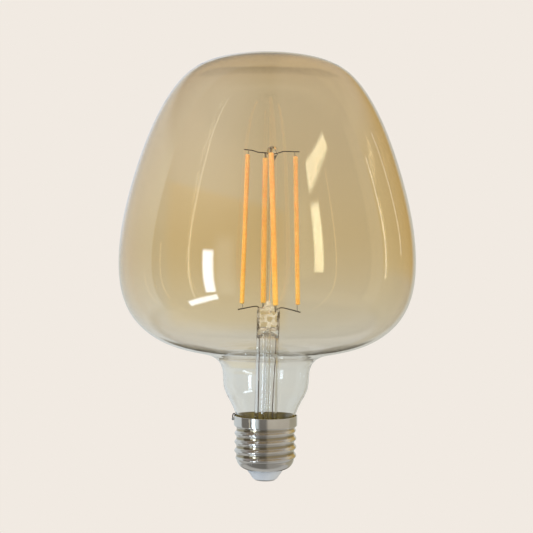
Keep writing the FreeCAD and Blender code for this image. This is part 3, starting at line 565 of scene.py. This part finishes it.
def world():
    """Plain pale surroundings and the studio's lamps, the same wherever the camera looks from."""
    made = bpy.data.worlds.new("studio")
    bpy.context.scene.world = made
    made.use_nodes = True
    t = Tree(made.node_tree)
    direction = t.add("ShaderNodeTexCoord").outputs["Generated"]
    right, up, back = camera_axes(t, direction)
    room = studio_room(t, right, up, back)
    room = t.mix(t.ramp(back, -0.90, -0.82, 1.0, 0.0), room, background_through_glass(t, right, up))
    # painted shade: a dark patch in the surroundings that the fold above the neck mirrors
    room = t.mix(fold_shade_patch(t, right, up, back), room, FOLD_SHADE)
    path = t.add("ShaderNodeLightPath")
    direct = t.math("LESS_THAN", path.outputs["Transparent Depth"], 0.5)
    direct = t.math("MULTIPLY", direct, path.outputs["Is Camera Ray"])
    background = t.add("ShaderNodeBackground")
    t.link(t.mix(direct, room, CREAM), background.inputs["Color"])
    output = t.add("ShaderNodeOutputWorld")
    t.link(background.outputs[0], output.inputs["Surface"])


def floor():
    """Plain pale floor, as evenly lit as a light table. Only the camera sees it directly."""
    material, t = new_material("floor")
    glow = t.add("ShaderNodeEmission")
    t.put(glow.inputs["Color"], CREAM)
    t.surface(glow.outputs[0])
    mesh = bpy.data.meshes.new("floor")
    bm = bmesh.new()
    under = CAD_BOX[0].z - 0.1 * MM
    bmesh.ops.create_circle(bm, cap_ends=True, radius=FLOOR_RADIUS, segments=96,
                            matrix=Matrix.Translation((0, 0, under)))
    bm.to_mesh(mesh)
    bm.free()
    mesh.materials.append(material)
    piece = bpy.data.objects.new("floor", mesh)
    piece.visible_glossy = False
    piece.visible_transmission = False
    piece.visible_diffuse = False
    piece.visible_shadow = False
    bpy.context.scene.collection.objects.link(piece)


def area_light(name, place, side, power, colour):
    """A soft square light aimed at the middle of the lamp that doesn't show in the glass."""
    data = bpy.data.lights.new(name, "AREA")
    data.size = side
    data.energy = power
    data.color = colour
    piece = bpy.data.objects.new(name, data)
    piece.location = place
    target = (CAD_BOX[0] + CAD_BOX[1]) / 2
    piece.rotation_euler = (target - Vector(place)).to_track_quat("-Z", "Y").to_euler()
    piece.visible_glossy = False
    piece.visible_transmission = False
    piece.visible_camera = False
    bpy.context.scene.collection.objects.link(piece)


# ---- the lamp -------------------------------------------------------------------
def cad_materials():
    """The material of each slot that CAD nodes keep."""
    return {
        "nickel_plate": nickel_material(),
        "contact_metal": metal_material("contact_metal", (0.66, 0.64, 0.60), 0.30),
        "solder": metal_material("solder", (0.62, 0.62, 0.62), 0.32, 0.10, 500.0),
        "insulator_glass": insulator_material(),
        "cement": cement_material(),
        "dark_wire": metal_material("dark_wire", (0.02, 0.018, 0.016), 0.42),
        "clear_glass": clear_glass_material(),
        "copper_wire": metal_material("copper_wire", (0.24, 0.18, 0.14), 0.30),
        "nickel_wire": metal_material("nickel_wire", (0.15, 0.13, 0.09), 0.34),
        "tag_metal": metal_material("tag_metal", (0.60, 0.58, 0.52), 0.35),
        "phosphor": phosphor_material(),
        "strip_sapphire": plastic_material("strip_sapphire", (0.72, 0.74, 0.72), 0.2),
        "led_chip": plastic_material("led_chip", (0.20, 0.30, 0.55), 0.2),
        "cup_plastic": plastic_material("cup_plastic", (0.78, 0.77, 0.73), 0.5),
        "board": board_material("board", (0.02, 0.16, 0.06), (0.20, 0.34, 0.10)),
        "moulded_package": plastic_material("moulded_package", (0.025, 0.025, 0.027), 0.45),
        "capacitor_can": metal_material("capacitor_can", (0.10, 0.11, 0.13), 0.35),
        "ferrite": plastic_material("ferrite", (0.06, 0.06, 0.06), 0.6, 0.3),
        "copper_winding": winding_material(),
        "resistor_coat": resistor_material(),
        "radio_board": board_material("radio_board", (0.02, 0.03, 0.12), (0.30, 0.28, 0.12)),
        "shield_metal": metal_material("shield_metal", (0.68, 0.67, 0.64), 0.28),
        "chip_part": plastic_material("chip_part", (0.42, 0.33, 0.22), 0.4),
        "wire_insulation": plastic_material("wire_insulation", (0.55, 0.03, 0.03), 0.35),
    }


def dress_cad_nodes():
    """Gives every CAD node that stays its finished material."""
    made = cad_materials()
    for node in NODES.values():
        slot = node.data.materials[0].name.split(".")[0]
        if slot in made:
            node.data.materials[0] = made[slot]


glass_wall()
dress_cad_nodes()
camera()
world()
floor()
area_light("key_light", (-0.45, -0.55, 0.45), 0.35, 6.0, (1.0, 0.98, 0.95))
area_light("fill_light", (0.55, -0.35, 0.20), 0.45, 3.0, (1.0, 0.97, 0.93))
area_light("top_light", (0.05, 0.15, 0.75), 0.50, 4.0, (1.0, 1.0, 1.0))

scene = bpy.context.scene
scene.view_settings.view_transform = "Standard"
scene.cycles.transparent_max_bounces = 32
scene.cycles.transmission_bounces = 24
scene.cycles.max_bounces = 24
